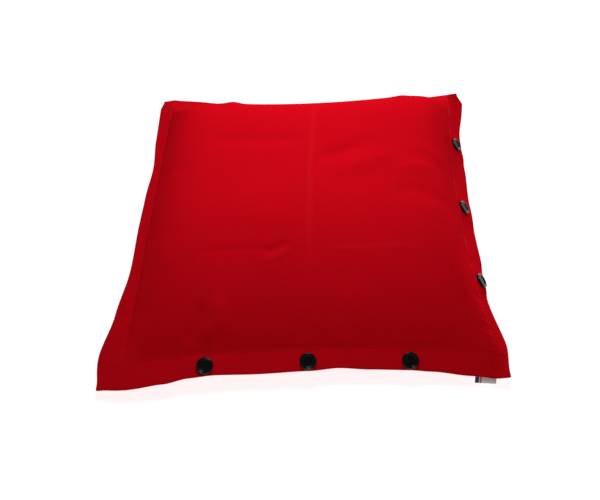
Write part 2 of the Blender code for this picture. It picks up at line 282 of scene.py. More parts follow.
# %% Room for the studs between the hems
CLOTH = 0.0008                      # one layer of coated glass fabric
HEM_CLOTH = 0.00175                 # the turned hem with its tape
SEWN_HEM = 0.0012                   # the left hem, pressed flat by its seam
SEWN_GAP = 0.00015                  # half the space between the hems at the sewn side
HEM_GAP = 0.00035                   # half the space between them where they meet elsewhere
BODY_LIFT = 0.00365                 # outer faces inside the stitch line, from the middle surface
SEWN_LIFT = 0.00135                 # the same at the sewn side
STUD_FACE = 0.0042                  # outer face of a hem under a cap, from the middle surface
MEETING = 0.0010                    # where the hems meet between studs, above the middle surface


def stud_shares():
    places = [(s, -STUD_LINE) for s in STATIONS]
    places += [(STUD_LINE, s) for s in STATIONS]
    places += [(s, STUD_LINE) for s in STATIONS]
    return places


def stud_hill(u, v, flat=0.0078, reach=0.024):
    """1 under a cap, falling to 0 a little way along the hem."""
    hill = np.zeros(np.broadcast(u, v).shape)
    for stud_u, stud_v in stud_shares():
        away = np.hypot(u - stud_u, v - stud_v) * CUT / 2
        hill = np.maximum(hill, 1 - smooth((away - flat) / (reach - flat)))
    return hill


def opened(u):
    """0 at the sewn side, 1 where the studs hold the hems."""
    return smooth((u + SEAM) / 0.18)


def in_band(u, v, reach=0.10):
    return np.maximum(hem_share(u, reach), hem_share(v, reach))


def hem_wall(u):
    return lerp(SEWN_HEM, HEM_CLOTH, opened(u))


def face_height(u, v, meeting):
    """From the middle surface out to a panel's outer face; meeting is where its hem meets the other."""
    body = lerp(SEWN_LIFT, BODY_LIFT, opened(u))
    met = lerp(SEWN_GAP, meeting + HEM_GAP, opened(u)) + hem_wall(u)
    hem = lerp(met, np.maximum(met, STUD_FACE), stud_hill(u, v))
    return lerp(body, hem, in_band(u, v))


def lift_top(u, v):
    """From the middle surface up to the outer face of the top panel."""
    return face_height(u, v, MEETING)


def drop_bottom(u, v):
    """From the middle surface down to the outer face of the bottom panel."""
    return face_height(u, v, -MEETING)


def wall(u, v):
    """Thickness of the cloth: doubled where the hem is turned under."""
    turned_under = np.maximum(np.abs(u), np.abs(v)) > SEAM - OFF_SEAM
    return np.where(turned_under, hem_wall(u), CLOTH)


print("top hem's outer face between studs and under a cap, mm",
      [round(float(lift_top(np.array(0.25 * k), np.array(-STUD_LINE))) * 1000, 2) for k in (1, 2)])

# %% [markdown]
# No hem of a filled cover is straight.  The filling draws it in here and lets it flare there, and
# the corners stay soft.  The outline is drawn as a few stations along each side, each with how far
# the edge stands out past the rule, in millimetres, and the curve between them is eased.

# %% The hem's own outline
FLARE = {
    "left": [(-1, 1.0), (-0.83, 6.6), (-0.62, 1.0), (-0.36, -3.8), (-0.05, -1.6), (0.15, -1.9),
             (0.38, -4.8), (0.62, -1.8), (1, -1.8)],
    "right": [(-1, -5.6), (-0.82, 3.6), (-0.6, -3.4), (-0.48, 1.0), (-0.3, 9.4), (-0.1, 8.8),
              (0, 8.4), (0.1, 8.8), (0.3, 9.8), (0.42, 7.5), (0.52, 2.5), (0.64, 1.6), (0.82, 4.4),
              (1, 4.0)],
    "front": [(-1, 3.0), (-0.85, 5.4), (-0.7, 3.4), (-0.58, 0), (-0.45, -1.2), (-0.25, -0.4),
              (0, -1.6), (0.15, -3.8), (0.3, -2.4), (0.5, -2.0), (0.6, -1.2), (0.8, 1.4), (1, 4.0)],
    "back": [(-1, -1.0), (-0.6, 0.0), (-0.2, -1.0), (0.3, 1.2), (0.7, 0.0), (1, -2.8)],
}
CORNER_PULL = {(-1, -1): 1.5, (1, -1): 0.6, (-1, 1): 4.0, (1, 1): 10.0}


def eased(stations, w):
    """A curve through (place, amount) stations, level at each of them."""
    places = np.array([p for p, _ in stations], float)
    amounts = np.array([a for _, a in stations], float)
    left = np.clip(np.searchsorted(places, w, side="right") - 1, 0, len(places) - 2)
    share = smooth((w - places[left]) / (places[left + 1] - places[left]))
    return lerp(amounts[left], amounts[left + 1], share)


def hem_outline(u, v):
    """How far a point of the hem is moved within the hem's own plane."""
    u, v = np.broadcast_arrays(np.asarray(u, float), np.asarray(v, float))
    end_u, end_v = np.where(u < 0, -1, 1), np.where(v < 0, -1, 1)
    out_u = unit(rim(end_u, in_body(v)) - rim(end_u * SEAM, in_body(v)))
    out_v = unit(rim(in_body(u), end_v) - rim(in_body(u), end_v * SEAM))
    share_u = np.clip((np.abs(u) - SEAM) / (1 - SEAM), 0, 1)
    share_v = np.clip((np.abs(v) - SEAM) / (1 - SEAM), 0, 1)
    side_u = np.where(u < 0, eased(FLARE["left"], v), eased(FLARE["right"], v))
    side_v = np.where(v < 0, eased(FLARE["front"], u), eased(FLARE["back"], u))
    move = out_u * (side_u * share_u)[..., None] + out_v * (side_v * share_v)[..., None]
    for (corner_u, corner_v), pull in CORNER_PULL.items():
        here = (end_u == corner_u) & (end_v == corner_v)
        amount = np.where(here, pull * smooth(share_u * share_v), 0)
        move = move - (out_u + out_v) * amount[..., None]
    return move / 1000


def outer_top(u, v):
    point = rim(u, v) + hem_outline(u, v) + rim_normal(u, v) * lift_top(u, v)[..., None]
    point[..., 2] += crown(u, v)
    return point


print("the right hem stands out at its middle by", eased(FLARE["right"], np.array(0.0)), "mm")

# %% [markdown]
# Each panel is one sheet with an outer face, an inner face and a rolled edge between them.  A
# Solidify modifier would give it one thickness only, so the two faces are laid as grids with the
# thickness of the rule, and a half-round row of faces closes the edge, as a turned hem does.

# %% Sheets with a rolled edge
ROLL_STEPS = 4


def grid_lines(body_steps, hem_steps):
    hem_lines = 1 - (1 - SEAM) * np.linspace(0, 1, hem_steps + 1)
    body_lines = np.linspace(-SEAM, SEAM, body_steps + 1)
    return np.concatenate([-hem_lines, body_lines[1:-1], hem_lines[::-1]])


def grid_faces(keys):
    return np.stack([keys[:-1, :-1], keys[1:, :-1], keys[1:, 1:], keys[:-1, 1:]], -1).reshape(-1, 4)


def border(keys):
    """The outermost points of a grid, once round."""
    return np.concatenate([keys[:-1, 0], keys[-1, :-1], keys[:0:-1, -1], keys[0, :0:-1]])


def add_map(mesh, name, corners):
    """A UV map from one pair of shares for each corner of each face."""
    mesh.uv_layers.new(name=name).data.foreach_set("uv", corners.astype(np.float32).ravel())


def sheet_mesh(name, lines, outer, inner, shares):
    """A closed sheet from two grids of points, with a rolled edge all round."""
    count = len(lines)
    keys = np.arange(count * count).reshape(count, count)
    points = [outer.reshape(-1, 3), inner.reshape(-1, 3)]
    flat = [shares.reshape(-1, 2)] * 2
    faces = [grid_faces(keys), grid_faces(keys)[:, ::-1] + count * count]

    ring = border(keys)
    high, low = points[0][ring], points[1][ring]
    middle = (high + low) / 2
    up = unit(high - low)
    along = np.roll(middle, -1, axis=0) - np.roll(middle, 1, axis=0)
    out = unit(np.cross(along, up))
    half = np.linalg.norm(high - low, axis=1, keepdims=True) / 2
    rows = [ring]
    start = 2 * count * count
    for step in range(1, ROLL_STEPS):
        turn = math.pi * (0.5 - step / ROLL_STEPS)
        points.append(middle + up * half * math.sin(turn) + out * half * math.cos(turn))
        flat.append(flat[0][ring])
        rows.append(np.arange(start, start + len(ring)))
        start += len(ring)
    rows.append(ring + count * count)
    for a, b in zip(rows, rows[1:]):
        faces.append(np.stack([a, b, np.roll(b, -1), np.roll(a, -1)], -1))

    faces = np.concatenate(faces)
    mesh = bpy.data.meshes.new(name)
    mesh.from_pydata(np.concatenate(points).tolist(), [], faces.tolist())
    add_map(mesh, "cloth_map", np.concatenate(flat)[faces.ravel()] * 0.5 + 0.5)
    mesh.shade_smooth()
    return mesh


def dress(piece, material):
    piece.data.materials.clear()
    piece.data.materials.append(material)


def add_piece(name, mesh, material):
    """A finished mesh as a piece of the scene, all in one material."""
    piece = bpy.data.objects.new(name, mesh)
    scene.collection.objects.link(piece)
    dress(piece, material)
    return piece


TOP_STEPS = 172
top_lines = grid_lines(TOP_STEPS, 12)
U, V = np.meshgrid(top_lines, top_lines, indexing="ij")
print("top panel's grid", U.shape, "step in the body", round(SEAM * CUT / TOP_STEPS * 1000, 2), "mm")

# %% [markdown]
# The cover is glass fabric with a thin silicone coat.  It has a fine plain weave, it is dull rather
# than glossy, and it scuffs paler along folds.  An image of cloth would be simpler, but here the
# weave is computed from the flat map of the sheet, so that it follows the cloth at its true pitch.
# In a plain weave, lengthwise and crosswise yarns take turns on top, like a chessboard.

# %% Node helpers


def node(tree, kind, inputs=None, **settings):
    """Adds a node with its settings; inputs go by their name or number."""
    made = tree.nodes.new(kind)
    for key, value in settings.items():
        setattr(made, key, value)
    feed(tree, made, inputs or {})
    return made


def calc(tree, operation, *values):
    """A Math node; each value is a number or an output socket."""
    return node(tree, "ShaderNodeMath", dict(enumerate(values)), operation=operation).outputs[0]


def times(tree, first, second):
    return calc(tree, "MULTIPLY", first, second)


def scaled(tree, value, factor, added):
    return calc(tree, "MULTIPLY_ADD", value, factor, added)


def mix_colour(tree, share, first, second, **settings):
    inputs = {0: share, 6: first, 7: second}
    return node(tree, "ShaderNodeMix", inputs, data_type="RGBA", **settings).outputs[2]


def one_yarn(tree, rounding, wave):
    """A rounded yarn that sinks to half its height where it dips under the next."""
    return times(tree, calc(tree, "POWER", rounding, 0.6), scaled(tree, wave, 0.5, 0.5))


def plain_weave(tree, place, yarns):
    """Height of a plain weave, 0 to 1, with that many yarns along each side."""
    split = node(tree, "ShaderNodeSeparateXYZ", {0: place}).outputs
    x = times(tree, split[0], yarns)
    y = times(tree, split[1], yarns)
    round_x = calc(tree, "ABSOLUTE", calc(tree, "SINE", times(tree, x, math.pi)))
    round_y = calc(tree, "ABSOLUTE", calc(tree, "SINE", times(tree, y, math.pi)))
    square = calc(tree, "ADD", calc(tree, "FLOOR", x), calc(tree, "FLOOR", y))
    over = calc(tree, "FLOORED_MODULO", square, 2.0)
    first = times(tree, one_yarn(tree, round_x, round_y), over)
    second = times(tree, one_yarn(tree, round_y, round_x), calc(tree, "SUBTRACT", 1.0, over))
    return calc(tree, "ADD", first, second)


def own_place(tree):
    return node(tree, "ShaderNodeTexCoord").outputs["Object"]


def carried(tree, name):
    """A value that the mesh carries at its points."""
    return node(tree, "ShaderNodeAttribute", attribute_name=name).outputs["Fac"]


def noise(tree, place, scale, detail=2.0):
    inputs = {"Vector": place, "Scale": scale, "Detail": detail}
    return node(tree, "ShaderNodeTexNoise", inputs).outputs["Fac"]


def bump(tree, height, distance, strength, base=None):
    inputs = {"Height": height, "Distance": distance, "Strength": strength}
    if base is not None:
        inputs["Normal"] = base
    return node(tree, "ShaderNodeBump", inputs).outputs["Normal"]


# %% Coated glass fabric
YARN = 0.0012                       # pitch of the weave


def coated_fabric():
    made = plain_material("coated_glass_fabric", {
        "Base Color": (0.6, 0.003, 0.012), "Roughness": 0.6, "Specular IOR Level": 0.0,
        "Sheen Weight": 0.004, "Sheen Roughness": 0.5, "Sheen Tint": (1.0, 0.25, 0.2)})
    tree = made.node_tree
    flat = node(tree, "ShaderNodeUVMap", uv_map="cloth_map").outputs[0]
    place = own_place(tree)
    weave = plain_weave(tree, flat, CUT / YARN)
    mottle = noise(tree, place, 9.0, 3.0)
    specks = noise(tree, place, 700.0, 1.0)
    tone = scaled(tree, mottle, 0.16, scaled(tree, specks, 0.06, 0.89))
    # Random tone times painted shade of the weave: darker in the gaps between the yarns, lighter on their
    # tops.
    depth = times(tree, tone, scaled(tree, weave, 0.24, 0.84))
    red = mix_colour(tree, 1.0, (0.60, 0.0022, 0.0085), depth, blend_type="MULTIPLY")
    wear = times(tree, carried(tree, "worn"), 0.5)
    gloss = scaled(tree, weave, -0.06, scaled(tree, mottle, 0.14, 0.54))
    set_shader(made, {
        "Base Color": mix_colour(tree, wear, red, (0.78, 0.02, 0.03)),
        "Roughness": gloss,
        "Normal": bump(tree, mottle, 0.0015, 0.15, bump(tree, weave, 0.0002, 0.5))})
    return made


red_cloth = coated_fabric()
print("yarns across a panel", round(CUT / YARN))

# %% [markdown]
# The cover came folded in a packet, so a cross of fold creases is left in it, and handling has added
# a few shallow valleys.  Each is a short path over the panel with a depth and a width.  They could be
# sculpted, but a path and a bell-shaped profile are quick to move, and they hardly change
# the cloth's area.

# %% Creases and wrinkles
# Each row: points of the path as (u, v), height in mm (below 0 a valley), half width in mm, and
# the scuffing of its crest where there is any.
CREASES = [
    ([(0.035, 0.86), (0.05, 0.5), (0.035, 0.0), (0.03, -0.4), (0.02, -0.74)], 0.85, 3.0, 0.25),
    ([(-0.60, -0.47), (-0.3, -0.46), (-0.05, -0.47)], -0.8, 3.4),
    ([(0.07, -0.47), (0.3, -0.48), (0.62, -0.47)], 0.6, 3.4, 0.12),
]
WRINKLES = [
    ([(0.05, 0.14), (0.14, 0.16), (0.26, 0.22), (0.44, 0.30)], -2.6, 9.0),
    ([(0.12, 0.02), (0.34, 0.08), (0.58, 0.16)], 1.9, 13.0),
    ([(-0.62, 0.30), (-0.2, 0.32), (0.1, 0.30)], -1.4, 11.0),
    ([(-0.23, -0.50), (-0.16, -0.47), (-0.07, -0.42)], -1.5, 3.8),
    ([(-0.20, -0.53), (-0.13, -0.50), (-0.05, -0.46)], 0.9, 3.5, 0.10),
    ([(-0.34, -0.30), (-0.14, -0.28), (0.0, -0.34)], 0.6, 13.0),
    ([(-0.52, -0.88), (-0.44, -0.78), (-0.43, -0.66)], 2.8, 7.0),
    ([(-0.60, -0.88), (-0.54, -0.78), (-0.52, -0.68)], -2.2, 6.0),
    ([(0.30, -0.88), (0.26, -0.76), (0.20, -0.66)], 0.7, 8.0),
    ([(0.84, -0.80), (0.72, -0.70), (0.62, -0.50)], -0.9, 10.0),
    ([(-0.86, -0.78), (-0.76, -0.66), (-0.68, -0.46)], -0.9, 10.0),
    ([(-0.86, 0.16), (-0.74, 0.12), (-0.62, 0.08)], -0.9, 8.0),
    ([(-0.87, -0.30), (-0.76, -0.30), (-0.66, -0.34)], -0.8, 7.0),
    ([(0.62, -0.20), (0.72, -0.16), (0.86, -0.18)], -0.8, 8.0),
    ([(0.60, 0.24), (0.72, 0.18), (0.86, 0.14)], 1.0, 9.0),
    ([(0.52, 0.00), (0.64, 0.05), (0.76, 0.02)], 1.6, 10.0),
    ([(0.46, -0.16), (0.60, -0.12), (0.74, -0.14)], -1.2, 9.0),
    ([(-0.48, 0.90), (-0.46, 0.62)], 2.2, 10.0),
    ([(-0.80, 0.84), (-0.70, 0.78), (-0.56, 0.80)], -2.0, 12.0),
    ([(0.60, 0.88), (0.58, 0.64)], 1.2, 9.0),
]


def along_path(u, v, path, width):
    """A bell across the path, fading out at both of its ends; 0 to 1."""
    half = CUT / 2 * 1000
    lengths = [math.dist(a, b) * half for a, b in zip(path, path[1:])]
    whole = sum(lengths)
    best = np.full(u.shape, 1e9)
    where = np.zeros(u.shape)
    done = 0.0
    for (a, b), length in zip(zip(path, path[1:]), lengths):
        du, dv = (b[0] - a[0]) * half, (b[1] - a[1]) * half
        share = np.clip(((u - a[0]) * half * du + (v - a[1]) * half * dv) / length ** 2, 0, 1)
        away = np.hypot((u - a[0]) * half - share * du, (v - a[1]) * half - share * dv)
        nearer = away < best
        best = np.where(nearer, away, best)
        where = np.where(nearer, (done + share * length) / whole, where)
        done += length
    ends = smooth(np.minimum(where, 1 - where) / 0.3)
    return np.exp(-(best / width) ** 2) * ends


def relief(u, v):
    """Height of every crease and wrinkle over the panel in metres, and the scuffing."""
    height = np.zeros(u.shape)
    scuff = np.zeros(u.shape)
    for path, amount, width, *rubbed in CREASES + WRINKLES:
        bell = along_path(u, v, path, width)
        height += bell * amount / 1000
        scuff = np.maximum(scuff, bell * sum(rubbed))
    return height, scuff


print(len(CREASES), "fold creases and", len(WRINKLES), "wrinkles")

# %% [markdown]
# A sewn hem is never quite smooth: the thread takes up a little cloth, and the fabric stands in small
# puckers on both sides of the stitch line.  A sum of a few waves with fixed random phases gives them
# uneven spacing.

# %% Puckers along the stitch line
PUCKER_HEIGHT = 0.0011              # for a wave 1 m long; shorter ones are lower
PUCKER_REACH = 0.008
PUCKER_END = 0.93                   # the puckers fade out before the corners
chance = np.random.default_rng(14)
PUCKER_WAVES = [(length, chance.uniform(0, 2 * math.pi, 4)) for length in (0.011, 0.0165, 0.027, 0.043)]


def pucker(u, v):
    """Height of the puckers: strongest at the stitch line, gone 18 mm from it."""
    height = np.zeros(np.broadcast(u, v).shape)
    for across_w, along_w, first in ((u, v, 0), (v, u, 2)):
        near = np.exp(-((np.abs(across_w) - SEAM) * CUT / 2 / PUCKER_REACH) ** 2)
        inside = np.clip((PUCKER_END - np.abs(along_w)) / 0.05, 0, 1)
        waves = 0
        for length, phases in PUCKER_WAVES:
            phase = np.where(across_w < 0, phases[first], phases[first + 1])
            waves = waves + np.sin(along_w * CUT / 2 * 2 * math.pi / length + phase) * length ** 0.5
        height = height + near * inside * waves * PUCKER_HEIGHT
    return height * (1 - stud_hill(u, v))


front_row = pucker(np.linspace(-SEAM, SEAM, 400), np.array(-SEAM)) * 1000
print("pucker height, mm, from", round(front_row.min(), 2), "to", round(front_row.max(), 2))

# %% [markdown]
# Now the rules are read at every point of a grid.  The top panel takes puckers along its hem and
# creases over its body.  The bottom panel sinks to the floor inside its stitch line, and its hem
# stays a little behind the upper one, so that it doesn't show from above.

# %% Top and bottom panels
HIDDEN_BY = 0.003                   # how far the lower hem stays behind the upper one's edge
EDGE_WEAR = 0.35                    # scuffing along the very edge of a hem


def cover_panel(name, lines, upper, lower, shares, worn):
    """A panel's piece, scuffed on its upper face as given and a little along its very edge."""
    mesh = sheet_mesh(name, lines, upper, lower, np.stack(shares, -1))
    values = np.full(len(mesh.vertices), EDGE_WEAR, np.float32)
    values[:worn.size] = worn.ravel()
    values[worn.size:2 * worn.size] = 0
    mesh.attributes.new("worn", "FLOAT", "POINT").data.foreach_set("value", values)
    return add_piece(name, mesh, red_cloth)


pucker_height = pucker(U, V)
crease_height, scuff = relief(U, V)
flat_normal = rim_normal(U, V)
outward = normal_of(outer_top, in_body(U), in_body(V))
top_outer = outer_top(U, V) + flat_normal * pucker_height[..., None] + outward * crease_height[..., None]
top_inner = top_outer - flat_normal * wall(U, V)[..., None]
top_cover = cover_panel("top_cover", top_lines, top_outer, top_inner, [U, V], scuff)

bottom_lines = grid_lines(96, 8)
BU, BV = np.meshgrid(bottom_lines, bottom_lines, indexing="ij")


def under(u, v):
    """0 at the stitch line, 1 where the underside lies on the floor."""
    return np.clip(1.6 * inside_share(u, 6) * inside_share(v, 6), 0, 1)


def outer_bottom(u, v):
    """Outer face of the bottom panel; its hem is a little shorter, except on the sewn side."""
    out = np.clip((np.maximum(np.abs(u), np.abs(v)) - SEAM) / (1 - SEAM), 0, 1)
    kept = 1 - HIDDEN_BY / (CUT / 2) * opened(u) * out
    point = rim(u * kept, v * kept) + hem_outline(u, v) - rim_normal(u, v) * drop_bottom(u, v)[..., None]
    point[..., 2] = lerp(point[..., 2], 0.0, under(u, v))
    return point


bottom_outer = outer_bottom(BU, BV)
bottom_inner = bottom_outer + rim_normal(BU, BV) * wall(BU, BV)[..., None]
bottom_cover = cover_panel("bottom_cover", bottom_lines, bottom_inner, bottom_outer, [BU, BV],
                           np.zeros(BU.shape))
print("triangles", len(top_cover.data.polygons) * 2, len(bottom_cover.data.polygons) * 2,
      "lowest point", round(float(bottom_outer[..., 2].min()) * 1000, 2), "mm")

# %% [markdown]
# One row of lockstitch holds the hem, 19 mm in from the edge.  Hundreds of stitches by hand would be
# slow, so a Geometry Nodes tree walks along a path, drops a short bead of thread at each step and
# turns it along the path and flat to the cloth.

# %% A tree that sews along a path


def new_tree(name, **sizes):
    """An empty Geometry Nodes tree and what it is given: a mesh and the named inputs."""
    tree = bpy.data.node_groups.new(name, "GeometryNodeTree")
    ask = tree.interface.new_socket
    ask("Geometry", in_out="INPUT", socket_type="NodeSocketGeometry")
    for label, kind in sizes.items():
        ask(label, in_out="INPUT", socket_type="NodeSocket" + kind)
    ask("Geometry", in_out="OUTPUT", socket_type="NodeSocketGeometry")
    return tree, node(tree, "NodeGroupInput").outputs


def placed(tree, dots, piece, rotation, size, material):
    """The tree's last nodes: the piece at every dot, made real and given its material."""
    put = node(tree, "GeometryNodeInstanceOnPoints", {
        "Points": dots, "Instance": piece, "Rotation": rotation, "Scale": size}).outputs[0]
    real = node(tree, "GeometryNodeRealizeInstances", {"Geometry": put}).outputs[0]
    dressed = node(tree, "GeometryNodeSetMaterial", {"Geometry": real, "Material": material}).outputs[0]
    node(tree, "NodeGroupOutput", {"Geometry": dressed})


def point_vectors(tree, name):
    """Vectors that the path or the spots carry at their points."""
    made = node(tree, "GeometryNodeInputNamedAttribute", {"Name": name}, data_type="FLOAT_VECTOR")
    return made.outputs[0]


def sewing_tree(thread):
    """Geometry Nodes: beads of thread at even steps along the path's edges."""
    tree, given = new_tree("sewing", Pitch="Float", Length="Float", Thread="Float")
    walk = node(tree, "GeometryNodeMeshToCurve", {"Mesh": given["Geometry"]}).outputs["Curve"]
    steps = node(tree, "GeometryNodeResampleCurve", {
        "Curve": walk, "Length": given["Pitch"]}, mode="LENGTH").outputs["Curve"]
    ball = node(tree, "GeometryNodeMeshUVSphere", {"Segments": 6, "Rings": 5, "Radius": 1.0})
    bead = node(tree, "GeometryNodeSetShadeSmooth", {"Geometry": ball.outputs["Mesh"]}).outputs["Geometry"]
    half = times(tree, given["Length"], 0.5)
    size = node(tree, "ShaderNodeCombineXYZ", {"X": half, "Y": given["Thread"], "Z": given["Thread"]})
    tangent = node(tree, "GeometryNodeInputTangent").outputs[0]
    along = node(tree, "FunctionNodeAlignRotationToVector", {"Vector": tangent}, axis="X").outputs[0]
    flat = node(tree, "FunctionNodeAlignRotationToVector", {
        "Rotation": along, "Vector": point_vectors(tree, "cloth_up")}, axis="Z", pivot_axis="X")
    placed(tree, steps, bead, flat.outputs[0], size.outputs[0], thread)
    return tree


def evaluated_mesh(piece):
    """What the piece's modifiers or bevel make of it, as a new plain mesh."""
    bpy.context.view_layer.update()
    return bpy.data.meshes.new_from_object(piece.evaluated_get(bpy.context.evaluated_depsgraph_get()))


def grown(name, points, edges, vectors, tree, material, **sizes):
    """Runs a tree over a mesh of points and keeps what it makes as one plain piece.

    vectors is the name of what the points carry and its values; sizes are the tree's own inputs.
    """
    seed = bpy.data.meshes.new(name + "_seed")
    seed.from_pydata(points.tolist(), edges, [])
    label, values = vectors
    carrier = seed.attributes.new(label, "FLOAT_VECTOR", "POINT")
    carrier.data.foreach_set("vector", np.asarray(values, np.float32).ravel())
    holder = bpy.data.objects.new(name + "_seed", seed)
    scene.collection.objects.link(holder)
    step = holder.modifiers.new(tree.name, "NODES")
    step.node_group = tree
    for item in tree.interface.items_tree:
        if item.in_out == "INPUT" and item.name in sizes:
            step[item.identifier] = sizes[item.name]
    mesh = evaluated_mesh(holder)
    mesh.name = name
    bpy.data.objects.remove(holder, do_unlink=True)
    bpy.data.meshes.remove(seed)
    return add_piece(name, mesh, material)


def sew(name, paths, tree, thread, **sizes):
    """paths is a list of (points, normals, closed); returns one piece with all their stitches."""
    edges = []
    first = 0
    for path, _, closed in paths:
        ring = list(range(first, first + len(path)))
        edges += list(zip(ring, ring[1:]))
        if closed:
            edges.append((ring[-1], ring[0]))
        first += len(path)
    points = np.concatenate([p for p, _, _ in paths])
    normals = np.concatenate([n for _, n, _ in paths])
    return grown(name, points, edges, ("cloth_up", normals), tree, thread, **sizes)


# %% Red thread and the hem's stitches
STITCH_ROW = SEAM + 0.006
THREAD_RISE = 0.00008               # how far a stitch's middle lies above the cloth


def thread_material(name, colour):
    """Twisted thread: a fine slanting ridge, painted shade in the grooves of the twist, and little gloss.
    """
    made = plain_material(name, {"Base Color": colour, "Roughness": 0.55, "Specular IOR Level": 0.1})
    tree = made.node_tree
    twist = node(tree, "ShaderNodeTexWave", {"Vector": own_place(tree), "Scale": 900.0},
                 wave_type="BANDS", bands_direction="DIAGONAL").outputs["Fac"]
    set_shader(made, {
        # The grooves of the twist are painted a fifth darker: painted shade.
        "Base Color": mix_colour(tree, twist, tuple(c * 0.8 for c in colour), colour),
        "Normal": bump(tree, twist, 0.0001, 0.6)})
    return made


red_thread = thread_material("red_thread", (0.55, 0.004, 0.01))
sewing_red = sewing_tree(red_thread)


def on_top(u, v):
    """Points of a row of thread on the finished top panel, and the cloth's normals there."""
    normal = rim_normal(u, v)
    height = pucker(u, v) + relief(u, v)[0] + THREAD_RISE
    return outer_top(u, v) + normal * height[..., None], normal


def hem_row(share, steps=150):
    side = np.linspace(-share, share, steps, endpoint=False)
    edge = np.full(steps, share)
    u = np.concatenate([side, edge, -side, -edge])
    v = np.concatenate([-edge, side, edge, -side])
    return *on_top(u, v), True


def corner_rows(share, far=0.985, steps=12):
    """Each corner of the hem is doubled, and two short rows out to the edges hold it."""
    out = np.linspace(share, far, steps)
    held = np.full(steps, share)
    for side_u in (-1, 1):
        for side_v in (-1, 1):
            yield *on_top(side_u * out, side_v * held), False
            yield *on_top(side_u * held, side_v * out), False


hem_stitches = sew("hem_stitches", [hem_row(STITCH_ROW), *corner_rows(STITCH_ROW)], sewing_red, red_thread,
                   Pitch=0.0036, Length=0.0027, Thread=0.0003)
print("stitches in the hem", len(hem_stitches.data.polygons) // 30)

# %% [markdown]
# Nine press studs close the cover.  Each has four turned pieces: a black cap with its rivet, the
# socket clinched under it, the stud and the post below.  Its hairpin spring stays as the frame has
# it.  Turning a profile is how such pieces are really drawn and pressed.  A small Geometry Nodes tree
# then sets one turned piece at all nine places, so that one change to a profile changes every stud.

# %% Places and a tree for the press studs
POLISHED_FROM = 4.8                 # radius in mm outside which a cap is glossy; its dish is dull
stud_u, stud_v = np.array(stud_shares()).T
stud_points = rim(stud_u, stud_v)
stud_axes = rim_normal(stud_u, stud_v)


def setting_tree():
    """Geometry Nodes: sets a turned piece at every point, turned as the point says."""
    tree, given = new_tree("setting", Piece="Object", Size="Float", Finish="Material")
    piece = node(tree, "GeometryNodeObjectInfo", {"Object": given["Piece"]}, transform_space="ORIGINAL")
    dots = node(tree, "GeometryNodeMeshToPoints", {"Mesh": given["Geometry"]}).outputs["Points"]
    turn = node(tree, "FunctionNodeEulerToRotation", {0: point_vectors(tree, "turn")}).outputs[0]
    placed(tree, dots, piece.outputs["Geometry"], turn, given["Size"], given["Finish"])
    return tree


def turned(name, profile, steps, ribs=0, rib_height=0.0):
    """A solid turned about Z from (radius, height) rows in mm, first and last on the axis.

    A row's third number, if it has one, is the share of the ribs' height there.
    """
    angles = np.arange(steps) * 2 * math.pi / steps
    wave = rib_height * (0.5 + 0.5 * np.cos(ribs * angles))
    points = [(0, 0, profile[0][1])]
    for radius, height, *ribbed in profile[1:-1]:
        rise = height + wave * sum(ribbed)
        points += list(zip(radius * np.cos(angles), radius * np.sin(angles), rise))
    points.append((0, 0, profile[-1][1]))
    faces = [(0, 1 + k, 1 + (k + 1) % steps) for k in range(steps)]
    for row in range(len(profile) - 3):
        a, b = 1 + row * steps, 1 + (row + 1) * steps
        faces += [(a + k, b + k, b + (k + 1) % steps, a + (k + 1) % steps) for k in range(steps)]
    last = len(points) - 1
    a = last - steps
    faces += [(a + k, last, a + (k + 1) % steps) for k in range(steps)]
    mesh = bpy.data.meshes.new(name)
    mesh.from_pydata((np.array(points, float) / 1000).tolist(), [], faces)
    polish = np.array([math.hypot(x, y) > POLISHED_FROM for x, y, _ in points], np.float32)
    mesh.attributes.new("polish", "FLOAT", "POINT").data.foreach_set("value", polish)
    mesh.shade_smooth()
    mesh.set_sharp_from_angle(angle=math.radians(38))
    return mesh


setting = setting_tree()


def set_studs(name, mesh, material):
    """One piece made of nine copies of the turned mesh."""
    mesh.materials.append(material)
    blank = bpy.data.objects.new(name + "_blank", mesh)
    scene.collection.objects.link(blank)
    turns = [tuple(Vector(axis).to_track_quat("Z", "Y").to_euler()) for axis in stud_axes]
    made = grown(name, stud_points, [], ("turn", turns), setting, material,
                 Piece=blank, Size=1.0, Finish=material)
    bpy.data.objects.remove(blank, do_unlink=True)
    return made


print("press studs at", len(stud_points), "places, tilted",
      [round(math.degrees(math.acos(float(a[2])))) for a in stud_axes], "degrees")

# %% [markdown]
# The caps are black enamelled brass, glossy, with a shallow dish in the middle.  The raised ring
# carries fine ribs, which catch small sparks of light.  Cloudy gloss keeps them from looking new.

# %% Turned pieces of the studs


def enamel():
    made = plain_material("black_enamel", {"Base Color": (0.003, 0.003, 0.0035), "Roughness": 0.16})
    tree = made.node_tree
    place = own_place(tree)
    polish = carried(tree, "polish")
    dull = scaled(tree, polish, -0.20, 0.24)
    set_shader(made, {
        "Roughness": scaled(tree, noise(tree, place, 220.0, 3.0), 0.18, dull),
        "Specular IOR Level": scaled(tree, polish, 0.14, 0.11),
        "Normal": bump(tree, noise(tree, place, 900.0, 1.0), 0.00004, 0.25)})
    return made


def plating():
    made = plain_material("nickel_plate", {
        "Base Color": (0.56, 0.55, 0.52), "Roughness": 0.28, "Metallic": 1.0})
    tree = made.node_tree
    clouds = noise(tree, own_place(tree), 300.0, 3.0)
    set_shader(made, {
        "Roughness": scaled(tree, clouds, 0.25, 0.15),
        "Base Color": mix_colour(tree, clouds, (0.44, 0.43, 0.40), (0.64, 0.63, 0.60))})
    return made


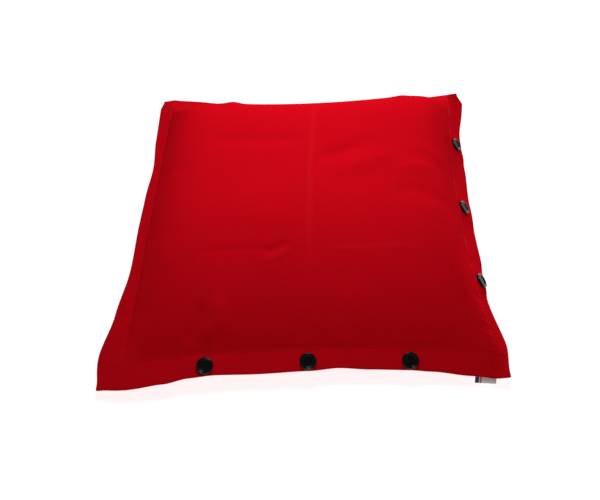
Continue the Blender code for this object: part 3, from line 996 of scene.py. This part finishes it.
black_enamel = enamel()
nickel = plating()
CAP_LOW = STUD_FACE * 1000 + 0.05   # heights and radii of the profiles are in mm
CAP_TOP = CAP_LOW + 2.6
SHANK_END = 1.45
caps = turned("caps", [
    (0, CAP_TOP - 0.85), (2.2, CAP_TOP - 0.85), (4.0, CAP_TOP - 0.82), (4.6, CAP_TOP - 0.7),
    (4.9, CAP_TOP - 0.35), (5.1, CAP_TOP - 0.22, 0.3), (5.4, CAP_TOP - 0.16, 1), (5.9, CAP_TOP - 0.14, 1),
    (6.3, CAP_TOP - 0.2, 0.3), (6.5, CAP_TOP - 0.06), (6.8, CAP_TOP), (7.1, CAP_TOP - 0.1),
    (7.4, CAP_TOP - 0.4), (7.6, CAP_TOP - 1.0), (7.6, CAP_TOP - 1.6), (7.5, CAP_LOW + 0.5),
    (7.2, CAP_LOW + 0.1), (6.8, CAP_LOW), (1.1, CAP_LOW), (1.1, SHANK_END), (0, SHANK_END)],
    96, ribs=32, rib_height=0.16)
sockets = turned("sockets", [
    (0, 2.1), (5.6, 2.1), (6.0, 1.9), (6.1, 1.6), (6.1, -0.6), (6.0, -1.0), (5.7, -1.15), (4.5, -1.15),
    (4.1, -1.0), (4.1, -0.85), (4.8, -0.85), (4.8, 1.3), (0, 1.3)], 48)
studs = turned("studs", [
    (0, 1.0), (1.2, 1.0), (1.8, 0.9), (2.2, 0.45), (2.1, 0.2), (1.75, -0.1), (1.75, -1.3), (2.0, -1.45),
    (5.0, -1.45), (5.4, -1.7), (5.4, -2.1), (1.4, -2.15), (1.4, -0.1), (0, -0.1)], 40)
posts = turned("posts", [
    (0, -0.4), (1.1, -0.4), (1.1, -4.25), (5.4, -4.25), (5.6, -4.5), (5.6, -4.7), (5.2, -5.2), (3.0, -5.15),
    (2.4, -4.9), (1.2, -4.85), (0, -4.85)], 40)
stud_caps = set_studs("stud_caps", caps, black_enamel)
stud_sockets = set_studs("stud_sockets", sockets, nickel)
stud_balls = set_studs("stud_balls", studs, nickel)
stud_posts = set_studs("stud_posts", posts, nickel)
made_studs = (stud_caps, stud_sockets, stud_balls, stud_posts)
print("stud pieces, faces", [len(piece.data.polygons) for piece in made_studs])

# %% [markdown]
# A short woven tape is caught between the two hems near the right end of the front side.  On the
# real object such a tape tells who made it; here it carries plain stripes only.  It is a small
# sheet with its own thickness, drooping a little where it leaves the hem.

# %% Side label
LABEL_U = 0.87                      # its middle, along the front side
LABEL_WIDTH = 0.019
LABEL_OUT = 0.008
LABEL_IN = 0.005
LABEL_THICK = 0.00045
DROOP = 0.0016
RIPPLE = 0.00025


def face_outwards(mesh):
    """Merges doubled points and turns every face outwards."""
    work = bmesh.new()
    work.from_mesh(mesh)
    bmesh.ops.remove_doubles(work, verts=work.verts, dist=0.00002)
    bmesh.ops.recalc_face_normals(work, faces=work.faces)
    work.to_mesh(mesh)
    work.free()


def label_mesh():
    edge = rim(LABEL_U, -1.0)
    axis = rim_normal(np.array(LABEL_U), np.array(-1.0))
    right = unit(rim(LABEL_U + 0.02, -1.0) - rim(LABEL_U - 0.02, -1.0))
    forward = np.cross(axis, right)
    side, along = np.meshgrid(np.linspace(-1, 1, 39), np.linspace(-LABEL_IN, LABEL_OUT, 27), indexing="ij")
    out = np.clip(along / LABEL_OUT, 0, 1)
    droop = -DROOP * out ** 2 + RIPPLE * np.sin(side * 2.6 + 0.4) * out
    middle = (edge + right * (side * LABEL_WIDTH / 2)[..., None]
              - forward * along[..., None] + axis * (MEETING + droop)[..., None]).reshape(-1, 3)
    up = axis * LABEL_THICK / 2
    keys = np.arange(side.size).reshape(side.shape)
    ring = border(keys)
    far = ring + keys.size
    cut_edge = np.stack([ring, np.roll(ring, -1), np.roll(far, -1), far], -1)
    faces = np.concatenate([grid_faces(keys), grid_faces(keys)[:, ::-1] + keys.size, cut_edge])
    mesh = bpy.data.meshes.new("side_label_tape")
    mesh.from_pydata(np.concatenate([middle + up, middle - up]).tolist(), [], faces.tolist())
    shares = np.stack([(side + 1) / 2, (along + LABEL_IN) / (LABEL_IN + LABEL_OUT)], -1).reshape(-1, 2)
    add_map(mesh, "tape_map", np.concatenate([shares, shares])[faces.ravel()])
    face_outwards(mesh)
    mesh.shade_smooth()
    mesh.set_sharp_from_angle(angle=math.radians(50))
    return mesh


def tape_material():
    """Woven tape: off-white, with a blue and a red stripe across one end."""
    made = plain_material("woven_tape", {"Base Color": (0.8, 0.79, 0.75), "Roughness": 0.7})
    tree = made.node_tree
    flat = node(tree, "ShaderNodeUVMap", uv_map="tape_map").outputs[0]
    across_tape = node(tree, "ShaderNodeSeparateXYZ", {0: flat}).outputs[0]
    stripes = node(tree, "ShaderNodeValToRGB", {"Fac": across_tape})
    stripes.color_ramp.interpolation = "CONSTANT"
    white = (0.95, 0.94, 0.90)
    bands = [(0.0, (0.012, 0.02, 0.10)), (0.18, white), (0.23, (0.62, 0.01, 0.02)), (0.30, white)]
    ramp = stripes.color_ramp.elements
    while len(ramp) < len(bands):
        ramp.new(0.5)
    for stop, (place, colour) in zip(ramp, bands):
        stop.position = place
        stop.color = (*colour, 1)
    ribs = plain_weave(tree, flat, 60)
    shadow = times(tree, ribs, 0.12)
    set_shader(made, {
        "Base Color": mix_colour(tree, shadow, stripes.outputs[0], (0.5, 0.5, 0.5)),
        "Normal": bump(tree, ribs, 0.0001, 0.5)})
    return made


side_label_tape = add_piece("side_label_tape", label_mesh(), tape_material())
print("label hangs out", LABEL_OUT, "m")

# %% [markdown]
# Inside lies the pad: a plain cotton case round soft wadding. Seen only when the cover is opened, it
# should still look soft. Its form is blown up a little by cloth simulation, which gives the slack and
# dimples of a real cushion that a smooth rule does not.

# %% Pad
PAD_SHRINK = 0.0015
PAD_MOVE = 0.0030
PAD_YARN = 0.0011


def cotton_material():
    made = plain_material("pad_cotton_cloth", {
        "Base Color": (0.74, 0.72, 0.67), "Roughness": 0.8, "Sheen Weight": 0.15})
    tree = made.node_tree
    place = own_place(tree)
    mottle = times(tree, noise(tree, place, 12.0, 3.0), 0.6)
    woven = bump(tree, plain_weave(tree, place, 1 / PAD_YARN), 0.00015, 0.5)
    set_shader(made, {
        "Base Color": mix_colour(tree, mottle, (0.78, 0.76, 0.70), (0.62, 0.59, 0.52)),
        "Normal": bump(tree, noise(tree, place, 45.0), 0.002, 0.25, woven)})
    return made


def vectors_of(data, field="co"):
    values = np.zeros(len(data) * 3)
    data.foreach_get(field, values)
    return values.reshape(-1, 3)


def flatten_modifiers(piece):
    """Replaces the piece's mesh with its evaluated one and drops the modifiers."""
    mesh = evaluated_mesh(piece)
    old = piece.data
    piece.modifiers.clear()
    piece.data = mesh
    bpy.data.meshes.remove(old)
    mesh.name = piece.name


def pad_blank():
    """The filling's form, merged, given an even net of faces and drawn in a little."""
    source = bpy.data.objects["pad_filling"]
    mesh = source.data.copy()
    mesh.transform(source.matrix_world)
    face_outwards(mesh)
    made = add_piece("pad", mesh, cotton)
    net = made.modifiers.new("net", "REMESH")
    net.mode = "VOXEL"
    net.voxel_size = 0.005
    flatten_modifiers(made)
    drawn_in = vectors_of(made.data.vertices) - vectors_of(made.data.vertex_normals, "vector") * PAD_SHRINK
    made.data.vertices.foreach_set("co", drawn_in.ravel())
    made.data.update()
    return made


def blow_up(piece):
    """Twenty frames of cloth under a little pressure; no point moves further than PAD_MOVE."""
    before = vectors_of(piece.data.vertices)
    cloth = piece.modifiers.new("filled", "CLOTH")
    cloth.settings.use_pressure = True
    cloth.settings.uniform_pressure_force = 4.0
    cloth.settings.effector_weights.gravity = 0
    cloth.settings.shrink_min = -0.015
    cloth.settings.quality = 5
    for number in range(1, 21):
        scene.frame_set(number)
    evaluated = piece.evaluated_get(bpy.context.evaluated_depsgraph_get())
    move = vectors_of(evaluated.data.vertices) - before
    piece.modifiers.clear()
    scene.frame_set(1)
    far = np.linalg.norm(move, axis=1, keepdims=True)
    move = move * np.minimum(1, PAD_MOVE / np.maximum(far, 1e-9))
    piece.data.vertices.foreach_set("co", (before + move).ravel())
    piece.data.update()
    return float(far.max())


cotton = cotton_material()
pad = pad_blank()
print("pad blown up, furthest point", round(blow_up(pad) * 1000, 2), "mm")
softer = pad.modifiers.new("softer", "SUBSURF")
softer.levels = 1
softer.render_levels = 1
flatten_modifiers(pad)
dress(pad, cotton)
pad.data.shade_smooth()
print("pad faces", len(pad.data.polygons), "size", [round(c, 3) for c in pad.dimensions])

# %% [markdown]
# Two squares of cotton make the pad's case.  A thin piping is caught in the seam between them, and a
# row of white stitches runs a little way in from it.  Both are laid on the finished cotton: the
# piping where the cotton comes nearest to the seam line, the stitches by looking straight down.

# %% Piping and stitches of the pad
PIPING_R = 0.0015
PIPING_ROW = 0.86
PAD_STITCH_ROW = 0.76
white_thread = thread_material("white_thread", (0.82, 0.81, 0.78))
pad_tree = BVHTree.FromPolygons([v.co for v in pad.data.vertices], [p.vertices for p in pad.data.polygons])


def square_ring(share, steps):
    """Points (u, v) once round the panel, that share of the way out, with eased corners."""
    turn = np.arange(steps) * 2 * math.pi / steps
    reach = share / (np.abs(np.cos(turn)) ** 12 + np.abs(np.sin(turn)) ** 12) ** (1 / 12)
    return reach * np.cos(turn), reach * np.sin(turn)


def pad_row(share, steps=360):
    points, ups = [], []
    for x, y, _ in rim(*square_ring(share, steps)):
        spot, normal, _, _ = pad_tree.ray_cast(Vector((x, y, 0.2)), Vector((0, 0, -1)))
        if spot is not None:
            points.append(tuple(spot + normal * 0.0001))
            ups.append(tuple(normal))
    return np.array(points), np.array(ups), True


def seam_line(share, steps=240):
    """Where the case's seam runs: the cotton nearest to it, evened out along the ring."""
    u, v = square_ring(share, steps)
    aims = (outer_top(u, v) + outer_bottom(u, v)) / 2
    spots = np.array([tuple(pad_tree.find_nearest(Vector(aim))[0]) for aim in aims])
    for _ in range(12):
        spots = (np.roll(spots, 1, axis=0) + 2 * spots + np.roll(spots, -1, axis=0)) / 4
    return spots


def tube(name, spots, radius, material):
    """A closed round tube through the points."""
    line = bpy.data.curves.new(name, "CURVE")
    line.dimensions = "3D"
    line.bevel_depth = radius
    line.bevel_resolution = 3
    spline = line.splines.new("POLY")
    spline.points.add(len(spots) - 1)
    spline.points.foreach_set("co", np.column_stack([spots, np.ones(len(spots))]).ravel())
    spline.use_cyclic_u = True
    guide = bpy.data.objects.new(name, line)
    scene.collection.objects.link(guide)
    mesh = evaluated_mesh(guide)
    bpy.data.objects.remove(guide, do_unlink=True)
    mesh.name = name
    mesh.shade_smooth()
    return add_piece(name, mesh, material)


pad_piping = tube("pad_piping", seam_line(PIPING_ROW), PIPING_R, cotton)
pad_stitches = sew("pad_stitches", [pad_row(PAD_STITCH_ROW)], sewing_tree(white_thread), white_thread,
                   Pitch=0.0042, Length=0.0030, Thread=0.00032)
print("stitches in the pad", len(pad_stitches.data.polygons) // 30,
      "piping faces", len(pad_piping.data.polygons))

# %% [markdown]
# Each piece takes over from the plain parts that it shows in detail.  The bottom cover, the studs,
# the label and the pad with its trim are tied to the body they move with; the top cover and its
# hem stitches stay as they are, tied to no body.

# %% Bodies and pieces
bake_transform(top_cover)
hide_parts("top_panel", "left_hem")
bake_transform(hem_stitches)
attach(bottom_cover, "base")
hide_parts("bottom_panel")
STUDS = [f"{side}_{number}" for side in ("front", "right", "back") for number in (1, 2, 3)]
for piece, kind, body, finish in ((stud_caps, "cap", "cover", "black_gloss"),
                                  (stud_sockets, "socket", "cover", "plated_metal"),
                                  (stud_balls, "stud", "base", "plated_metal"),
                                  (stud_posts, "post", "base", "plated_metal")):
    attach(piece, body)
    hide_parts(*[f"{name}_{kind}" for name in STUDS])
for name in STUDS:
    dress(bpy.data.objects[f"{name}_spring"], nickel)
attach(side_label_tape, "base")
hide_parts("side_label")
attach(pad, "base")
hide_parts("pad_case_top", "pad_case_bottom", "pad_filling")
for trim in (pad_piping, pad_stitches):
    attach(trim, "base")
